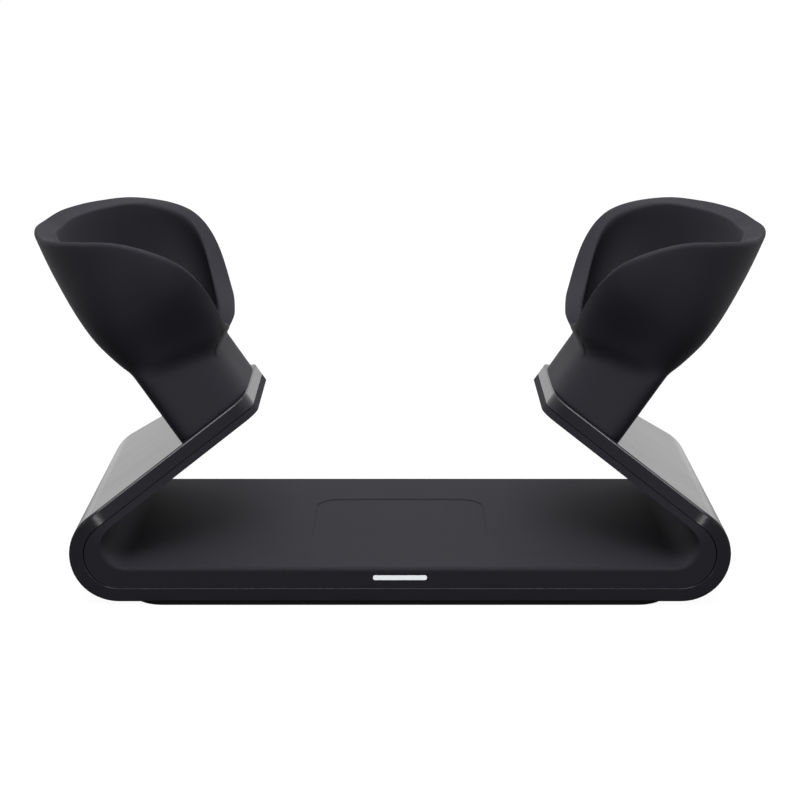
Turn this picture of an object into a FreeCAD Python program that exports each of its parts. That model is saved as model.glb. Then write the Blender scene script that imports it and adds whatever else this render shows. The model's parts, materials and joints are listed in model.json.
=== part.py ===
import FreeCAD, Part
import Sketcher
import os
from math import atan2, cos, pi, radians, sin, sqrt, tan

# Charging stand for a pair of hand controllers.
# Millimetres, +Z up, front towards -Y, origin in the middle of the foot pad's underside.

doc = FreeCAD.newDocument("charging_stand")

# Driving sizes
driving = {
    "base_width": 220,
    "band_depth": 116,
    "band_thick": 4.8,
    "band_round": 0.8,
    "band_inner_round": 0.4,
    "bend_radius": 16.1,
    "arm_slope": 34.5,
    "arm_length": 61,
    "arm_taper": 25.5,
    "taper_blend": 18,
    "tip_radius": 9,
    "liner_thick": 2.4,
    "liner_ease": 0.13,
    "deck_rise": 7.1,
    "deck_corner": 7.6,
    "deck_skin": 2.2,
    "deck_wall": 2.5,
    "deck_round": 1.3,
    "cavity_length": 164,
    "recess_length": 61,
    "recess_width": 56,
    "recess_depth": 0.3,
    "recess_round": 0.25,
    "recess_corner": 10,
    "pad_thick": 1.4,
    "pad_length": 178,
    "pad_inset": 1,
    "pad_corner": 10,
    "light_length": 18,
    "light_height": 1.6,
    "light_level": 3.6,
    "light_gap": 0.4,
    "light_flange": 1,
    "light_depth": 3.5,
    "end_roundness": 0.9,
    "fit": 0.1,
    "base_screw_x": 70,
    "base_screw_y": 42,
    "screw_radius": 1.5,
    "screw_head_radius": 2.8,
    "screw_head_height": 2,
    "boss_wall": 2,
    "screw_spare": 1,
    "board_length": 60,
    "board_thick": 0.8,
    "board_drop": 0.3,
    "board_screw_x": 24,
    "board_screw_y": 34,
    "small_screw_radius": 0.9,
    "small_head_radius": 1.7,
    "small_head_height": 1,
    "usb_width": 8.9,
    "usb_height": 3.2,
    "usb_depth": 7.4,
    "usb_wall": 0.3,
    "usb_tongue_width": 6.7,
    "usb_tongue_thick": 0.7,
    "usb_setback": 0.6,
    "usb_ease": 0.3,
    "usb_back_wall": 1,
    "led_width": 1.4,
    "chip_height": 1.2,
    "chip_size": 5,
    "chip_pitch": 14,
    "cable_width": 6,
    "cable_thick": 0.5,
    "cable_ease": 0.2,
    "slot_ease": 1,
    "socket_length": 4,
    "socket_side": 1,
    "contact_inset": 14,
    "holder_screw_y": 24,
    "holder_screw_reach": 7,
    "stem_length": 28,
    "stem_half_outer": 40.3,
    "stem_half_inner": 26.3,
    "stem_wall": 3,
    "stem_square": 6,
    "stem_top": 21,
    "floor_top": 13,
    "floor_thick": 3,
    "cup_wall": 7.2,
    "root_level": 11,
    "root_out": -0.8,
    "root_in": -0.4,
    "root_side_out": -2.6,
    "root_side_in": -6.9,
    "root_square": 4.2,
    "belly_level": 25,
    "belly_out": 1.4,
    "belly_in": 10,
    "belly_side_out": -0.5,
    "belly_side_in": 2.6,
    "belly_square": 3.6,
    "bowl_level": 45,
    "bowl_out": 5.9,
    "bowl_in": 19.1,
    "bowl_side_out": 0.6,
    "bowl_side_in": 19.7,
    "bowl_square": 3.1,
    "brow_level": 68,
    "brow_out": 6.3,
    "brow_in": 33,
    "brow_side_out": -1.7,
    "brow_side_in": 20.9,
    "brow_square": 2.2,
    "brim_level": 92,
    "brim_out": 2.6,
    "brim_in": 37.8,
    "brim_side_out": -5.7,
    "brim_side_in": 8.8,
    "brim_square": 1.8,
    "cup_tip": 85.8,
    "notch_bottom": 18.5,
    "floor_round": 6,
    "rim_lean": 3.2,
    "rim_within": 2.4,
    "rim_beyond": 82,
    "boss_sink": 1,
    "block_length": 13,
    "block_width": 7,
    "block_proud": 1,
    "flange_thick": 1.5,
    "flange_edge": 1.5,
    "contact_board_length": 30,
    "contact_board_width": 12,
    "contact_board_thick": 1,
    "contact_screw_y": 11.5,
    "pin_pitch": 6,
    "pin_radius": 0.7,
    "pin_shoulder_radius": 1.05,
    "pin_shoulder_height": 1.1,
    "pin_proud": 1.8,
    "pin_ease": 0.15,
    "pin_lip": 1.1,
    "spring_wire": 0.2,
    "spring_turns": 4,
}

sheet = doc.addObject("Spreadsheet::Sheet", "Sizes")
for row, (name, number) in enumerate(driving.items(), 1):
    sheet.set(f"A{row}", name)
    sheet.set(f"B{row}", str(number))
    sheet.setAlias(f"B{row}", name)
doc.recompute()


class Size:
    # A number together with the spreadsheet formula that it comes from.
    def __init__(self, value, formula):
        self.value = value
        self.formula = formula

    def __add__(self, other):
        other = as_size(other)
        return Size(self.value + other.value, f"({self.formula} + {other.formula})")

    def __sub__(self, other):
        other = as_size(other)
        return Size(self.value - other.value, f"({self.formula} - {other.formula})")

    def __mul__(self, other):
        other = as_size(other)
        return Size(self.value * other.value, f"({self.formula} * {other.formula})")

    def __truediv__(self, other):
        other = as_size(other)
        return Size(self.value / other.value, f"({self.formula} / {other.formula})")

    def __neg__(self):
        return Size(-self.value, f"(0 - {self.formula})")

    def __radd__(self, other):
        return as_size(other) + self

    def __rsub__(self, other):
        return as_size(other) - self

    def __rmul__(self, other):
        return as_size(other) * self


def as_size(number):
    return number if isinstance(number, Size) else Size(float(number), f"({float(number)})")


def sine(angle):
    return Size(sin(radians(angle.value)), f"sin({angle.formula} * 1 deg)")


def cosine(angle):
    return Size(cos(radians(angle.value)), f"cos({angle.formula} * 1 deg)")


def tangent(angle):
    return Size(tan(radians(angle.value)), f"tan({angle.formula} * 1 deg)")


class Named:
    pass


v = Named()
for name in driving:
    setattr(v, name, Size(float(sheet.get(name)), f"Sizes.{name}"))


def bind(thing, prop, number):
    thing.setExpression(prop, as_size(number).formula)


# Two faces or edges this close are taken as level with each other
near = 0.01

# Places that several pieces share
half_depth = v.band_depth / 2
bend_x = v.base_width / 2 - v.bend_radius
bend_z = v.pad_thick + v.bend_radius
z_floor = v.pad_thick + v.band_thick
z_deck = z_floor + v.deck_rise
z_ceiling = z_deck - v.deck_skin
contact_middle = v.arm_length - v.contact_inset
slope_sin = sine(v.arm_slope)
slope_cos = cosine(v.arm_slope)
arm_x = -bend_x - v.bend_radius * slope_sin
arm_z = bend_z + v.bend_radius * slope_cos


# World X and Z of a point on the left arm, from its distance along the arm and above its outer face.
def arm_point(along, above):
    along = as_size(along)
    above = as_size(above)
    return (arm_x + along * slope_cos - above * slope_sin, arm_z + along * slope_sin + above * slope_cos)


# Tangent points of a round between the base and the left arm, each at a depth inside the band's outer face.
def left_corner(base_inset, arm_inset, radius):
    base_inset = as_size(base_inset)
    arm_inset = as_size(arm_inset)
    radius = as_size(radius)
    above_base = base_inset + radius - v.bend_radius
    below_arm = v.bend_radius - arm_inset - radius
    run = (slope_cos * above_base - below_arm) / slope_sin
    x = run - bend_x
    z = v.pad_thick + base_inset
    return (x, z), (x - radius * slope_sin, z + radius + radius * slope_cos)


def mirrored(point):
    return (-point[0], point[1])


# Sketches
def sketch_on(body, plane, name):
    sketch = body.newObject("Sketcher::SketchObject", name)
    origin = next(f for f in body.Origin.OriginFeatures if f.Role == plane)
    sketch.AttachmentSupport = [(origin, "")]
    sketch.MapMode = "FlatFace"
    return sketch


def lift_sketch(sketch, height):
    bind(sketch, "AttachmentOffset.Base.z", height)


def lay_on_left_arm(sketch, above=0):
    x, z = arm_point(0, above)
    turn = FreeCAD.Rotation(FreeCAD.Vector(0, -1, 0), v.arm_slope.value)
    sketch.AttachmentOffset = FreeCAD.Placement(FreeCAD.Vector(x.value, 0, z.value), turn)
    bind(sketch, "AttachmentOffset.Base.x", x)
    bind(sketch, "AttachmentOffset.Base.z", z)
    bind(sketch, "AttachmentOffset.Rotation.Angle", v.arm_slope)


def pin_point(sketch, edge, end, x, y):
    for kind, number in (("DistanceX", as_size(x)), ("DistanceY", as_size(y))):
        index = sketch.addConstraint(Sketcher.Constraint(kind, -1, 1, edge, end, number.value))
        sketch.setExpression(f"Constraints[{index}]", number.formula)


def arc_between(start, end, radius, turn):
    middle = (start + end) * 0.5
    half = (end - start).Length / 2
    aside = FreeCAD.Vector(start.y - end.y, end.x - start.x, 0).normalize() * turn
    centre = middle + aside * sqrt(max(radius * radius - half * half, 0))
    first, last = (start, end) if turn > 0 else (end, start)
    circle = Part.Circle(centre, FreeCAD.Vector(0, 0, 1), radius)
    from_angle = atan2(first.y - centre.y, first.x - centre.x)
    to_angle = atan2(last.y - centre.y, last.x - centre.x)
    return Part.ArcOfCircle(circle, from_angle, to_angle)


# Each corner is (x, y), reached by a straight edge, or (x, y, radius, turn), reached by an arc.
def trace(sketch, corners):
    points = [FreeCAD.Vector(as_size(c[0]).value, as_size(c[1]).value, 0) for c in corners]
    ends = []
    for i, corner in enumerate(corners):
        if len(corner) == 2:
            edge = sketch.addGeometry(Part.LineSegment(points[i - 1], points[i]), False)
            ends.append((edge, 1, 2))
        else:
            arc = arc_between(points[i - 1], points[i], as_size(corner[2]).value, corner[3])
            edge = sketch.addGeometry(arc, False)
            ends.append((edge, 1, 2) if corner[3] > 0 else (edge, 2, 1))
    for i, corner in enumerate(corners):
        edge, _, last = ends[i]
        following, first, _ = ends[(i + 1) % len(ends)]
        sketch.addConstraint(Sketcher.Constraint("Coincident", edge, last, following, first))
        pin_point(sketch, edge, last, corner[0], corner[1])
        if len(corner) == 4:
            radius = as_size(corner[2])
            index = sketch.addConstraint(Sketcher.Constraint("Radius", edge, radius.value))
            sketch.setExpression(f"Constraints[{index}]", radius.formula)


def rectangle(x0, y0, x1, y1):
    return [(x1, y0), (x1, y1), (x0, y1), (x0, y0)]


def rounded_rectangle(half_x, half_y, radius, middle_y=0):
    near_x = half_x - radius
    near_y = half_y - radius
    return [
        (near_x, middle_y - half_y), (half_x, middle_y - near_y, radius, 1),
        (half_x, middle_y + near_y), (near_x, middle_y + half_y, radius, 1),
        (-near_x, middle_y + half_y), (-half_x, middle_y + near_y, radius, 1),
        (-half_x, middle_y - near_y), (-near_x, middle_y - half_y, radius, 1),
    ]


def add_circle(sketch, x, y, radius):
    x, y, radius = as_size(x), as_size(y), as_size(radius)
    centre = FreeCAD.Vector(x.value, y.value, 0)
    circle = Part.Circle(centre, FreeCAD.Vector(0, 0, 1), radius.value)
    edge = sketch.addGeometry(circle, False)
    pin_point(sketch, edge, 3, x, y)
    index = sketch.addConstraint(Sketcher.Constraint("Radius", edge, radius.value))
    sketch.setExpression(f"Constraints[{index}]", radius.formula)


# Features
def new_body(name):
    body = doc.addObject("PartDesign::Body", name)
    body.Label = name
    return body


def grow(body, kind, sketch, length, both_ways=False, flip=False):
    feature = body.newObject(f"PartDesign::{kind}", f"{sketch.Name}_{kind.lower()}")
    feature.Profile = sketch
    bind(feature, "Length", length)
    if both_ways:
        feature.Midplane = True
    feature.Reversed = flip
    before = body.Shape.Volume if body.Shape.isNull() is False else 0
    doc.recompute()
    after = body.Shape.Volume
    if (after > before) != (kind == "Pad"):
        feature.Reversed = not flip
        doc.recompute()
    return feature


def mirror_features(body, features, name):
    feature = body.newObject("PartDesign::Mirrored", name)
    feature.Originals = features
    plane = next(f for f in body.Origin.OriginFeatures if f.Role == "YZ_Plane")
    feature.MirrorPlane = (plane, [""])
    body.Tip = feature
    doc.recompute()
    return feature


def round_edges(body, name, radius, wanted):
    base = body.Tip
    edges = [f"Edge{i}" for i, edge in enumerate(base.Shape.Edges, 1) if wanted(base.Shape, edge)]
    feature = body.newObject("PartDesign::Fillet", name)
    feature.Base = (base, edges)
    bind(feature, "Radius", radius)
    doc.recompute()
    return feature


# Primitives, placed by their lowest corner or the middle of their lower end
def place(thing, x, y, z):
    bind(thing, "Placement.Base.x", x)
    bind(thing, "Placement.Base.y", y)
    bind(thing, "Placement.Base.z", z)


def box(name, x, y, z, length, width, height):
    thing = doc.addObject("Part::Box", name)
    bind(thing, "Length", length)
    bind(thing, "Width", width)
    bind(thing, "Height", height)
    place(thing, x, y, z)
    return thing


def middle_box(name, x, y, z, length, width, height):
    length, width = as_size(length), as_size(width)
    return box(name, x - length / 2, y - width / 2, z, length, width, height)


def cylinder(name, x, y, z, radius, height):
    thing = doc.addObject("Part::Cylinder", name)
    bind(thing, "Radius", radius)
    bind(thing, "Height", height)
    place(thing, x, y, z)
    return thing


def fuse(name, *things):
    thing = doc.addObject("Part::MultiFuse", name)
    thing.Shapes = list(things)
    thing.Label = name
    return thing


def cut(name, base, tool):
    thing = doc.addObject("Part::Cut", name)
    thing.Base = base
    thing.Tool = tool
    thing.Label = name
    return thing


def group(name, things):
    thing = doc.addObject("Part::Compound", name)
    thing.Links = things
    thing.Label = name
    return thing


# Pieces made in the left arm's own frame (along the arm, back, out of its face) are set on the arm.
def set_on_left_arm(thing):
    turn = FreeCAD.Rotation(FreeCAD.Vector(0, -1, 0), v.arm_slope.value)
    thing.Placement = FreeCAD.Placement(FreeCAD.Vector(arm_x.value, 0, arm_z.value), turn)
    bind(thing, "Placement.Base.x", arm_x)
    bind(thing, "Placement.Base.z", arm_z)
    bind(thing, "Placement.Rotation.Angle", v.arm_slope)
    return thing


def other_side(name, source):
    thing = doc.addObject("Part::Mirroring", name)
    thing.Source = source
    thing.Base = FreeCAD.Vector(0, 0, 0)
    thing.Normal = FreeCAD.Vector(1, 0, 0)
    thing.Label = name
    return thing


# The same piece on the other arm, turned half round instead of mirrored.
def turned_round(name, source):
    thing = group(name, [source])
    half_turn = FreeCAD.Rotation(FreeCAD.Vector(0, 0, 1), 180)
    thing.Placement = FreeCAD.Placement(FreeCAD.Vector(0, 0, 0), half_turn)
    return thing


pieces = []

# Band: base, two bends and two arms of one bent plate
tip_run = v.tip_radius * tangent((90 - v.arm_taper) / 2)
tip_half = half_depth - v.arm_length * tangent(v.arm_taper)
taper_cos = cosine(v.arm_taper)
taper_sin = sine(v.arm_taper)
blend_run = v.taper_blend * tangent(v.arm_taper / 2)


# What falls away beside the front or back edge of the left arm, seen square to its face.
def arm_side(sign):
    spare = v.tip_radius
    far = half_depth + spare
    return [
        (-blend_run, sign * far),
        (-blend_run, sign * half_depth),
        (blend_run * taper_cos, sign * (half_depth - blend_run * taper_sin), v.taper_blend, -sign),
        (v.arm_length - tip_run * taper_cos, sign * (tip_half + tip_run * taper_sin)),
        (v.arm_length, sign * (tip_half - tip_run), v.tip_radius, -sign),
        (v.arm_length + spare, sign * (tip_half - tip_run)),
        (v.arm_length + spare, sign * far),
    ]


def taper_left_arm(body, name, deep):
    sketch = sketch_on(body, "XY_Plane", name)
    lay_on_left_arm(sketch)
    trace(sketch, arm_side(-1))
    trace(sketch, arm_side(1))
    return grow(body, "Pocket", sketch, deep)


# Closed outline of a plate that follows the band, from its outer to its inner corners and ends.
def wrap_outline(outer, outer_radius, inner, inner_radius, outer_tip, inner_tip):
    base_out, arm_out = outer
    base_in, arm_in = inner
    return [
        mirrored(base_out),
        mirrored(arm_out) + (outer_radius, 1),
        mirrored(outer_tip),
        mirrored(inner_tip),
        mirrored(arm_in),
        mirrored(base_in) + (inner_radius, -1),
        base_in,
        arm_in + (inner_radius, -1),
        inner_tip,
        outer_tip,
        arm_out,
        base_out + (outer_radius, 1),
    ]


band_inner_radius = v.bend_radius - v.band_thick
frame_band = new_body("frame_band")
band_profile = sketch_on(frame_band, "XZ_Plane", "band_profile")
trace(band_profile, wrap_outline(
    left_corner(0, 0, v.bend_radius), v.bend_radius,
    left_corner(v.band_thick, v.band_thick, band_inner_radius), band_inner_radius,
    arm_point(v.arm_length, 0), arm_point(v.arm_length, -v.band_thick)))
grow(frame_band, "Pad", band_profile, v.band_depth, both_ways=True)
band_taper = taper_left_arm(frame_band, "band_taper", v.band_thick + v.liner_thick)

arm_holes = sketch_on(frame_band, "XY_Plane", "arm_holes")
lay_on_left_arm(arm_holes)
slot_half = v.cable_thick / 2 + v.slot_ease
slot_side = v.cable_width / 2 + v.slot_ease
trace(arm_holes, rectangle(contact_middle - slot_half, -slot_side, contact_middle + slot_half, slot_side))
for sign in (-1, 1):
    add_circle(arm_holes, contact_middle, sign * v.holder_screw_y, v.screw_radius + v.fit)
band_holes = grow(frame_band, "Pocket", arm_holes, v.band_thick + v.liner_thick)

arm_heads = sketch_on(frame_band, "XY_Plane", "arm_heads")
lay_on_left_arm(arm_heads, -v.band_thick)
for sign in (-1, 1):
    add_circle(arm_heads, contact_middle, sign * v.holder_screw_y, v.screw_head_radius + v.fit)
band_heads = grow(frame_band, "Pocket", arm_heads, v.screw_head_height + v.fit, flip=True)
mirror_features(frame_band, [band_taper, band_holes, band_heads], "band_other_arm")

base_screw_spots = [(sx * v.base_screw_x, sy * v.base_screw_y) for sx in (-1, 1) for sy in (-1, 1)]
base_holes = sketch_on(frame_band, "XY_Plane", "base_holes")
lift_sketch(base_holes, v.pad_thick)
for x, y in base_screw_spots:
    add_circle(base_holes, x, y, v.screw_radius + v.fit)
grow(frame_band, "Pocket", base_holes, v.band_thick, flip=True)
base_heads = sketch_on(frame_band, "XY_Plane", "base_heads")
lift_sketch(base_heads, v.pad_thick)
for x, y in base_screw_spots:
    add_circle(base_heads, x, y, v.screw_head_radius + v.fit)
grow(frame_band, "Pocket", base_heads, v.screw_head_height + v.fit, flip=True)


# Long edges of the band: those between a face along the depth and the front, back or tapered sides.
side_lean = 0.3
shortest_long_edge = 5


def is_side_face(face):
    u0, u1, v0, v1 = face.ParameterRange
    return abs(face.normalAt((u0 + u1) / 2, (v0 + v1) / 2).y) > side_lean


def is_long_edge(shape, edge):
    if edge.Length < shortest_long_edge:
        return False
    faces = shape.ancestorsOfType(edge, Part.Face)
    sides = [is_side_face(face) for face in faces]
    middle = edge.valueAt((edge.FirstParameter + edge.LastParameter) / 2)
    in_slot = abs(middle.y) < slot_side.value + v.slot_ease.value
    return any(sides) and not all(sides) and not in_slot


def is_band_edge(shape, edge):
    if isinstance(edge.Curve, Part.Circle) and edge.Curve.Radius < v.tip_radius.value / 2:
        return False
    return is_long_edge(shape, edge)


# Edges of the face that looks into the stand's middle, where the liner lies
def is_inner_edge(shape, edge):
    if not is_band_edge(shape, edge):
        return False
    face = next(face for face in shape.ancestorsOfType(edge, Part.Face) if not is_side_face(face))
    place = edge.valueAt((edge.FirstParameter + edge.LastParameter) / 2)
    inwards = FreeCAD.Vector(0, place.y, z_deck.value) - place
    return face.normalAt(*face.Surface.parameter(place)).dot(inwards) > 0


def is_outer_edge(shape, edge):
    return is_band_edge(shape, edge) and not is_inner_edge(shape, edge)


round_edges(frame_band, "band_outer_rounds", v.band_round, is_outer_edge)
round_edges(frame_band, "band_inner_rounds", v.band_inner_round, is_inner_edge)
pieces.append(frame_band)

# Deck and liner: one moulding inside the band
liner_radius = band_inner_radius + v.liner_ease
liner_inset = v.band_thick + v.liner_thick
deck_liner = new_body("deck_liner")
liner_profile = sketch_on(deck_liner, "XZ_Plane", "liner_profile")
trace(liner_profile, wrap_outline(
    left_corner(v.band_thick, v.band_thick, liner_radius), liner_radius,
    left_corner(v.band_thick + v.deck_rise, liner_inset, v.deck_corner), v.deck_corner,
    arm_point(v.arm_length, -v.band_thick), arm_point(v.arm_length, -liner_inset)))
grow(deck_liner, "Pad", liner_profile, v.band_depth, both_ways=True)


def is_deck_edge(shape, edge):
    middle = edge.valueAt((edge.FirstParameter + edge.LastParameter) / 2)
    at_side = abs(abs(middle.y) - half_depth.value) < near
    at_top = abs(middle.z - z_deck.value) < near
    return at_side and at_top and edge.Length > v.base_width.value / 4


round_edges(deck_liner, "deck_rounds", v.deck_round, is_deck_edge)
liner_taper = taper_left_arm(deck_liner, "liner_taper", liner_inset + v.liner_thick)

# Groove for the flat cable, on the side that faces the band
groove_depth = v.cable_thick + 2 * v.cable_ease
groove_end = contact_middle + slot_half
groove_inset = v.band_thick + groove_depth
groove_radius = liner_radius - groove_depth
cavity_half = v.cavity_length / 2
base_near, arm_near = left_corner(v.band_thick, v.band_thick, liner_radius)
base_deep, arm_deep = left_corner(groove_inset, groove_inset, groove_radius)
cable_groove = sketch_on(deck_liner, "XZ_Plane", "cable_groove")
trace(cable_groove, [
    (-cavity_half, v.pad_thick + v.band_thick),
    base_near,
    arm_near + (liner_radius, -1),
    arm_point(groove_end, -v.band_thick),
    arm_point(groove_end, -groove_inset),
    arm_deep,
    base_deep + (groove_radius, 1),
    (-cavity_half, v.pad_thick + groove_inset),
])
liner_groove = grow(deck_liner, "Pocket", cable_groove, v.cable_width + 2 * v.cable_ease, both_ways=True)
mirror_features(deck_liner, [liner_taper, liner_groove], "liner_other_arm")

# Hollow under the deck, with bosses for the screws
cavity_back = half_depth - v.deck_wall
deck_hollow = sketch_on(deck_liner, "XY_Plane", "deck_hollow")
lift_sketch(deck_hollow, z_floor)
trace(deck_hollow, rectangle(-cavity_half, -cavity_back, cavity_half, cavity_back))
cavity_height = z_ceiling - z_floor
grow(deck_liner, "Pocket", deck_hollow, cavity_height, flip=True)

base_bosses = sketch_on(deck_liner, "XY_Plane", "base_bosses")
lift_sketch(base_bosses, z_floor)
for x, y in base_screw_spots:
    add_circle(base_bosses, x, y, v.screw_radius + v.boss_wall)
grow(deck_liner, "Pad", base_bosses, cavity_height + v.deck_skin / 2)
board_screw_spots = [(sx * v.board_screw_x, sy * v.board_screw_y) for sx in (-1, 1) for sy in (-1, 1)]
board_top = z_ceiling - v.board_drop
board_bottom = board_top - v.board_thick
board_bosses = sketch_on(deck_liner, "XY_Plane", "board_bosses")
lift_sketch(board_bosses, board_top)
for x, y in board_screw_spots:
    add_circle(board_bosses, x, y, v.small_screw_radius + v.boss_wall)
grow(deck_liner, "Pad", board_bosses, v.board_drop + v.deck_skin / 2)

base_pilots = sketch_on(deck_liner, "XY_Plane", "base_pilots")
lift_sketch(base_pilots, z_floor)
for x, y in base_screw_spots:
    add_circle(base_pilots, x, y, v.screw_radius)
grow(deck_liner, "Pocket", base_pilots, cavity_height, flip=True)
board_pilots = sketch_on(deck_liner, "XY_Plane", "board_pilots")
lift_sketch(board_pilots, board_top)
for x, y in board_screw_spots:
    add_circle(board_pilots, x, y, v.small_screw_radius)
grow(deck_liner, "Pocket", board_pilots, v.board_drop + v.deck_skin / 2, flip=True)

# Windows for the light bar and the power inlet, with round ends about a middle height
def slot_outline(half_width, half_height, z):
    return rounded_rectangle(half_width, half_height, half_height * v.end_roundness, z)


light_z = z_floor + v.light_level
usb_top = board_bottom
usb_middle = usb_top - v.usb_height / 2
light_window = sketch_on(deck_liner, "XZ_Plane", "light_window")
bind(light_window, "AttachmentOffset.Base.z", half_depth)
light_half = v.light_length / 2
light_rise = v.light_height / 2
trace(light_window, slot_outline(light_half + v.light_gap, light_rise + v.light_gap, light_z))
grow(deck_liner, "Pocket", light_window, v.deck_wall)
usb_window = sketch_on(deck_liner, "XZ_Plane", "usb_window")
bind(usb_window, "AttachmentOffset.Base.z", -half_depth)
usb_side = v.usb_width / 2 + v.usb_ease
usb_rise = v.usb_height / 2
usb_end = usb_rise + v.usb_ease


trace(usb_window, slot_outline(usb_side, usb_end, usb_middle))
grow(deck_liner, "Pocket", usb_window, v.deck_wall, flip=True)

# Shallow recess in the deck's top
deck_recess = sketch_on(deck_liner, "XY_Plane", "deck_recess")
lift_sketch(deck_recess, z_deck)
trace(deck_recess, rounded_rectangle(v.recess_length / 2, v.recess_width / 2, v.recess_corner))
grow(deck_liner, "Pocket", deck_recess, v.recess_depth)


def is_recess_edge(shape, edge):
    box_of_edge = edge.BoundBox
    flat = box_of_edge.ZLength < near
    level = z_deck.value - v.recess_depth.value
    at_floor = abs(box_of_edge.ZMin - level) < near
    reach = v.recess_length.value / 2 + near
    inside = box_of_edge.XMax <= reach and box_of_edge.XMin >= -reach
    return flat and at_floor and inside


round_edges(deck_liner, "recess_rounds", v.recess_round, is_recess_edge)
pieces.append(deck_liner)

# Foot pad
foot_pad = new_body("foot_pad")
pad_outline = sketch_on(foot_pad, "XY_Plane", "pad_outline")
trace(pad_outline, rounded_rectangle(v.pad_length / 2, half_depth - v.pad_inset, v.pad_corner))
grow(foot_pad, "Pad", pad_outline, v.pad_thick)
pieces.append(foot_pad)

# Light bar, with a flange behind the window
light_bar = new_body("light_bar")
bar_front = sketch_on(light_bar, "XZ_Plane", "bar_front")
bind(bar_front, "AttachmentOffset.Base.z", half_depth)
trace(bar_front, slot_outline(light_half, light_rise, light_z))
grow(light_bar, "Pad", bar_front, v.light_depth, flip=True)
bar_flange = sketch_on(light_bar, "XZ_Plane", "bar_flange")
bind(bar_flange, "AttachmentOffset.Base.z", cavity_back)
trace(bar_flange, slot_outline(light_half + v.light_flange, light_rise + v.light_flange / 2, light_z))
grow(light_bar, "Pad", bar_flange, v.light_flange, flip=True)
pieces.append(light_bar)

# Power board and what stands on it, hanging under the deck
board_front = -half_depth + v.light_depth + v.fit
usb_back = half_depth - v.usb_setback
board_back = cavity_back - v.fit
board_plate = box("board_plate", -v.board_length / 2, board_front, board_bottom,
                  v.board_length, board_back - board_front, v.board_thick)
board_drills = fuse("board_drills", *[
    cylinder(f"board_drill_{i}", x, y, board_bottom, v.small_screw_radius + v.fit, v.board_thick)
    for i, (x, y) in enumerate(board_screw_spots)])
pieces.append(cut("main_board", board_plate, board_drills))

led_high = v.led_width / 2
leds = [
    middle_box(f"led_{i}", place_along * v.light_length / 3, board_front + v.led_width / 2,
               board_bottom - led_high, v.led_width, v.led_width, led_high)
    for i, place_along in enumerate((-1, 0, 1))]
pieces.append(group("led_chips", leds))

# Middle along and back in chip pitches, length and width in chip sizes
chip_spots = [(0, 0.5, 1.4, 1.4), (-1, 1.2, 1, 1), (1, 1.2, 1, 1),
              (-1, 0.3, 0.8, 1.2), (1, 0.3, 0.8, 1.2), (0, -1, 1.2, 0.8)]
chips = [
    middle_box(f"chip_{i}", x * v.chip_pitch, y * v.chip_pitch, board_bottom - v.chip_height,
               length * v.chip_size, width * v.chip_size, v.chip_height)
    for i, (x, y, length, width) in enumerate(chip_spots)]
pieces.append(group("control_chips", chips))

cable_low = z_floor + v.cable_ease
socket_low = cable_low
socket_height = board_bottom - socket_low
socket_x = v.board_length / 2 - v.socket_length / 2
sockets = [
    middle_box(f"socket_{i}", sign * socket_x, 0, socket_low, v.socket_length,
               v.cable_width + 2 * v.socket_side, socket_height)
    for i, sign in enumerate((-1, 1))]
pieces.append(group("cable_sockets", sockets))

usb_socket = new_body("usb_socket")
usb_shell = sketch_on(usb_socket, "XZ_Plane", "usb_shell")
bind(usb_shell, "AttachmentOffset.Base.z", -usb_back)
trace(usb_shell, slot_outline(v.usb_width / 2, usb_rise, usb_middle))
grow(usb_socket, "Pad", usb_shell, v.usb_depth)
usb_bore = sketch_on(usb_socket, "XZ_Plane", "usb_bore")
bind(usb_bore, "AttachmentOffset.Base.z", -usb_back)
trace(usb_bore, slot_outline(v.usb_width / 2 - v.usb_wall, usb_rise - v.usb_wall, usb_middle))
usb_reach = v.usb_depth - v.usb_back_wall
grow(usb_socket, "Pocket", usb_bore, usb_reach, flip=True)
usb_tongue = sketch_on(usb_socket, "XZ_Plane", "usb_tongue")
bind(usb_tongue, "AttachmentOffset.Base.z", -(usb_back - v.usb_depth))
tongue_half = v.usb_tongue_width / 2
tongue_rise = v.usb_tongue_thick / 2
trace(usb_tongue, rectangle(-tongue_half, usb_middle - tongue_rise, tongue_half, usb_middle + tongue_rise))
grow(usb_socket, "Pad", usb_tongue, usb_reach, flip=True)
pieces.append(usb_socket)

# Flat cables, from the board round the bends and up through the arms to the contact boards
cable_near = v.band_thick + v.cable_ease
cable_far = cable_near + v.cable_thick
near_radius = liner_radius - v.cable_ease
far_radius = near_radius - v.cable_thick
base_near, arm_near = left_corner(cable_near, cable_near, near_radius)
base_far, arm_far = left_corner(cable_far, cable_far, far_radius)
floor_under = v.floor_top - v.floor_thick
flange_low = floor_under - v.flange_thick
contact_board_low = flange_low - v.contact_board_thick
cable_half = v.cable_thick / 2
socket_face = -v.board_length / 2
left_flat_cable = new_body("left_flat_cable")
cable_route = sketch_on(left_flat_cable, "XZ_Plane", "cable_route")
trace(cable_route, [
    (socket_face, v.pad_thick + cable_near),
    base_near,
    arm_near + (near_radius, -1),
    arm_point(contact_middle - cable_half, -cable_near),
    arm_point(contact_middle - cable_half, contact_board_low),
    arm_point(contact_middle + cable_half, contact_board_low),
    arm_point(contact_middle + cable_half, -cable_far),
    arm_far,
    base_far + (far_radius, 1),
    (socket_face, v.pad_thick + cable_far),
])
grow(left_flat_cable, "Pad", cable_route, v.cable_width, both_ways=True)
pieces.append(left_flat_cable)
pieces.append(other_side("right_flat_cable", left_flat_cable))


# Screws: a shank and a flat head, the head below or above the shank's lower end
def screw(name, x, y, z, radius, length, head_radius, head_height):
    shank = cylinder(f"{name}_shank", x, y, z, radius, length)
    head = cylinder(f"{name}_head", x, y, z, head_radius, head_height)
    return fuse(name, shank, head)


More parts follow.
